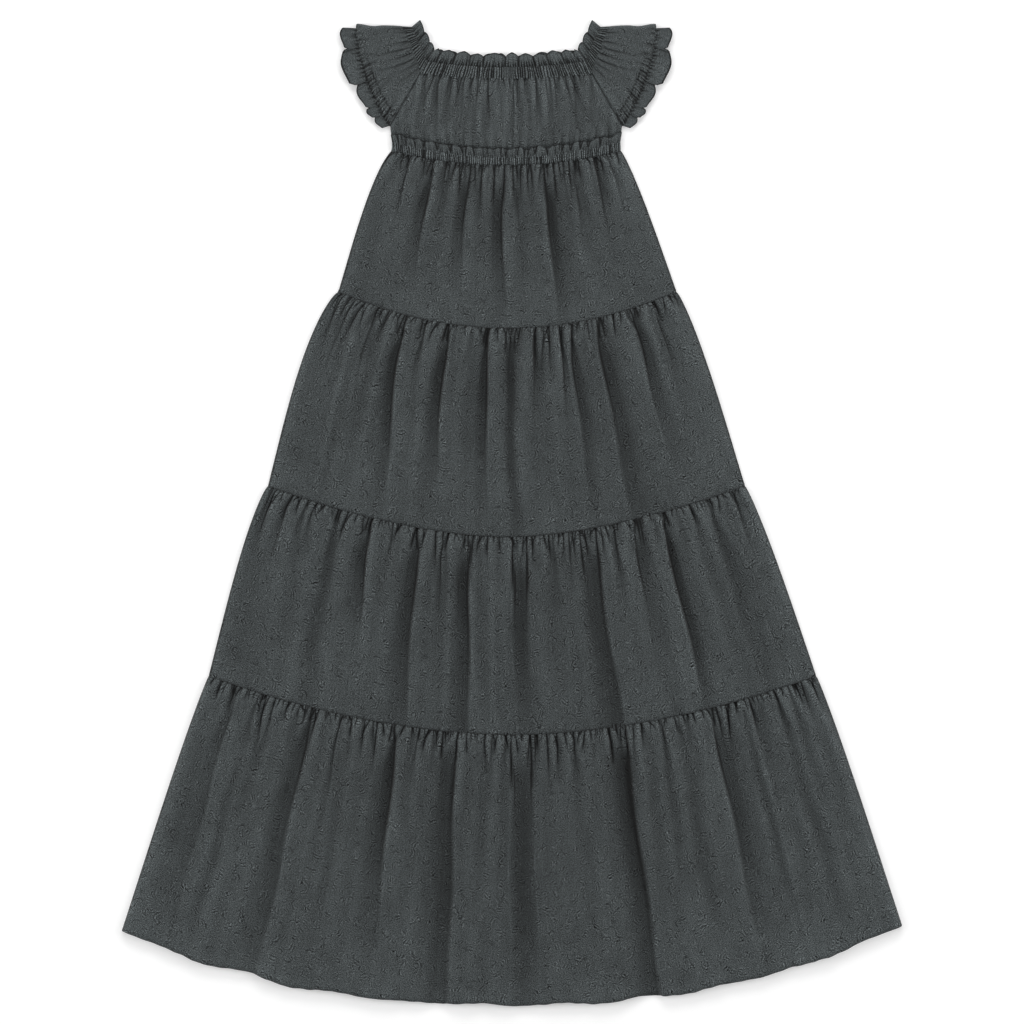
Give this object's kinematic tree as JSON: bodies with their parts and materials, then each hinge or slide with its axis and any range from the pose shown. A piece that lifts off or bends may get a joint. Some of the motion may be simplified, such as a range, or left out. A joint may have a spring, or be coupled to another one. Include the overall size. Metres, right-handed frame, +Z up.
{
  "type": "tiered midi dress",
  "caption": "Child's midi-length tiered cotton dress with raglan cap sleeves, frilled elastic neck and waist, laid flat on its back.",
  "frame": {"origin": "bottom centre of the whole dress, on the surface that its back lies on", "axes": "+Y towards the neck, +X towards the wearer's left, +Z up, away from the surface"},
  "size_m": [0.74, 0.9358, 0.0081],
  "materials": {
    "cloth": "matt charcoal cotton with a fine crinkle and self-coloured embroidery"
  },
  "bodies": {
    "root": {"bodice_front": "cloth", "bodice_back": "cloth", "neck_casing_front": "cloth", "neck_casing_back": "cloth", "neck_frill_front": "cloth", "neck_frill_back": "cloth", "waist_casing_front": "cloth", "waist_casing_back": "cloth", "waist_frill_front": "cloth", "waist_frill_back": "cloth", "tier_1_front": "cloth", "tier_1_back": "cloth", "tier_2_front": "cloth", "tier_2_back": "cloth", "tier_3_front": "cloth", "tier_3_back": "cloth", "tier_4_front": "cloth", "tier_4_back": "cloth", "sleeve_left": "cloth", "sleeve_right": "cloth", "neck_casing_left": "cloth", "neck_casing_right": "cloth", "neck_frill_left": "cloth", "neck_frill_right": "cloth", "sleeve_frill_left": "cloth", "sleeve_frill_right": "cloth"}
  },
  "joints": []
}
